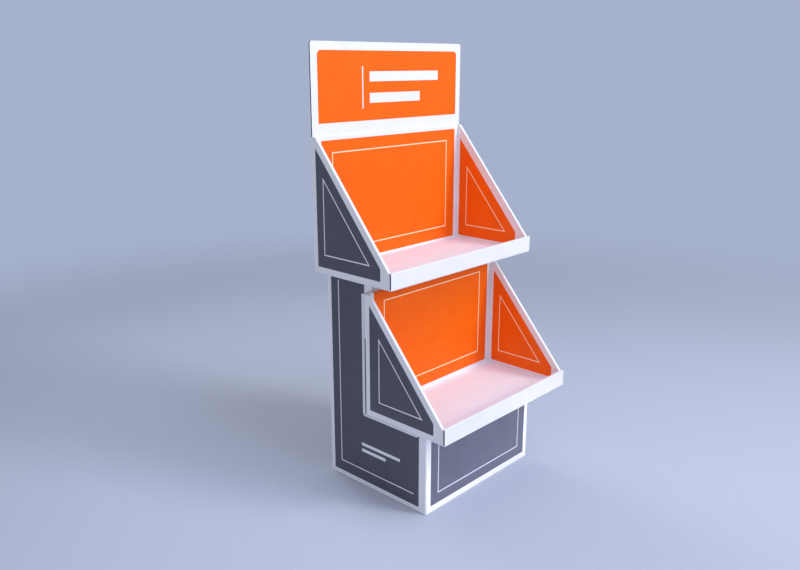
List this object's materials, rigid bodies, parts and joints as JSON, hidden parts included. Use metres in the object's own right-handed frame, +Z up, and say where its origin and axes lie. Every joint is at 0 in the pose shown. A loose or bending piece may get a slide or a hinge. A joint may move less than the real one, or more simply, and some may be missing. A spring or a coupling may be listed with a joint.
{
  "type": "cardboard display stand",
  "caption": "Free-standing shop display of folded corrugated board: a stepped column carries open sloping-sided trays one above the other, with an upright header card on top.",
  "frame": {"origin": "on the floor, under the middle of the whole stand's width and depth", "axes": "+Z up, +X to the right seen from the front, the trays open towards -Y"},
  "size_m": [0.768, 0.6, 1.573],
  "materials": {
    "slate_print_board": "satin litho print on white corrugated board",
    "white_board": "bare white-lined corrugated board",
    "kraft_board": "plain brown corrugated board",
    "orange_print_board": "satin litho print on white corrugated board"
  },
  "bodies": {
    "root": {"base_column": "slate_print_board", "riser_core": "white_board", "brace_long": "kraft_board", "brace_cross_left": "kraft_board", "brace_cross_right": "kraft_board", "tray_saddle": "white_board", "lower_tray": "orange_print_board", "upper_tray": "orange_print_board", "header_card": "orange_print_board"}
  },
  "joints": []
}
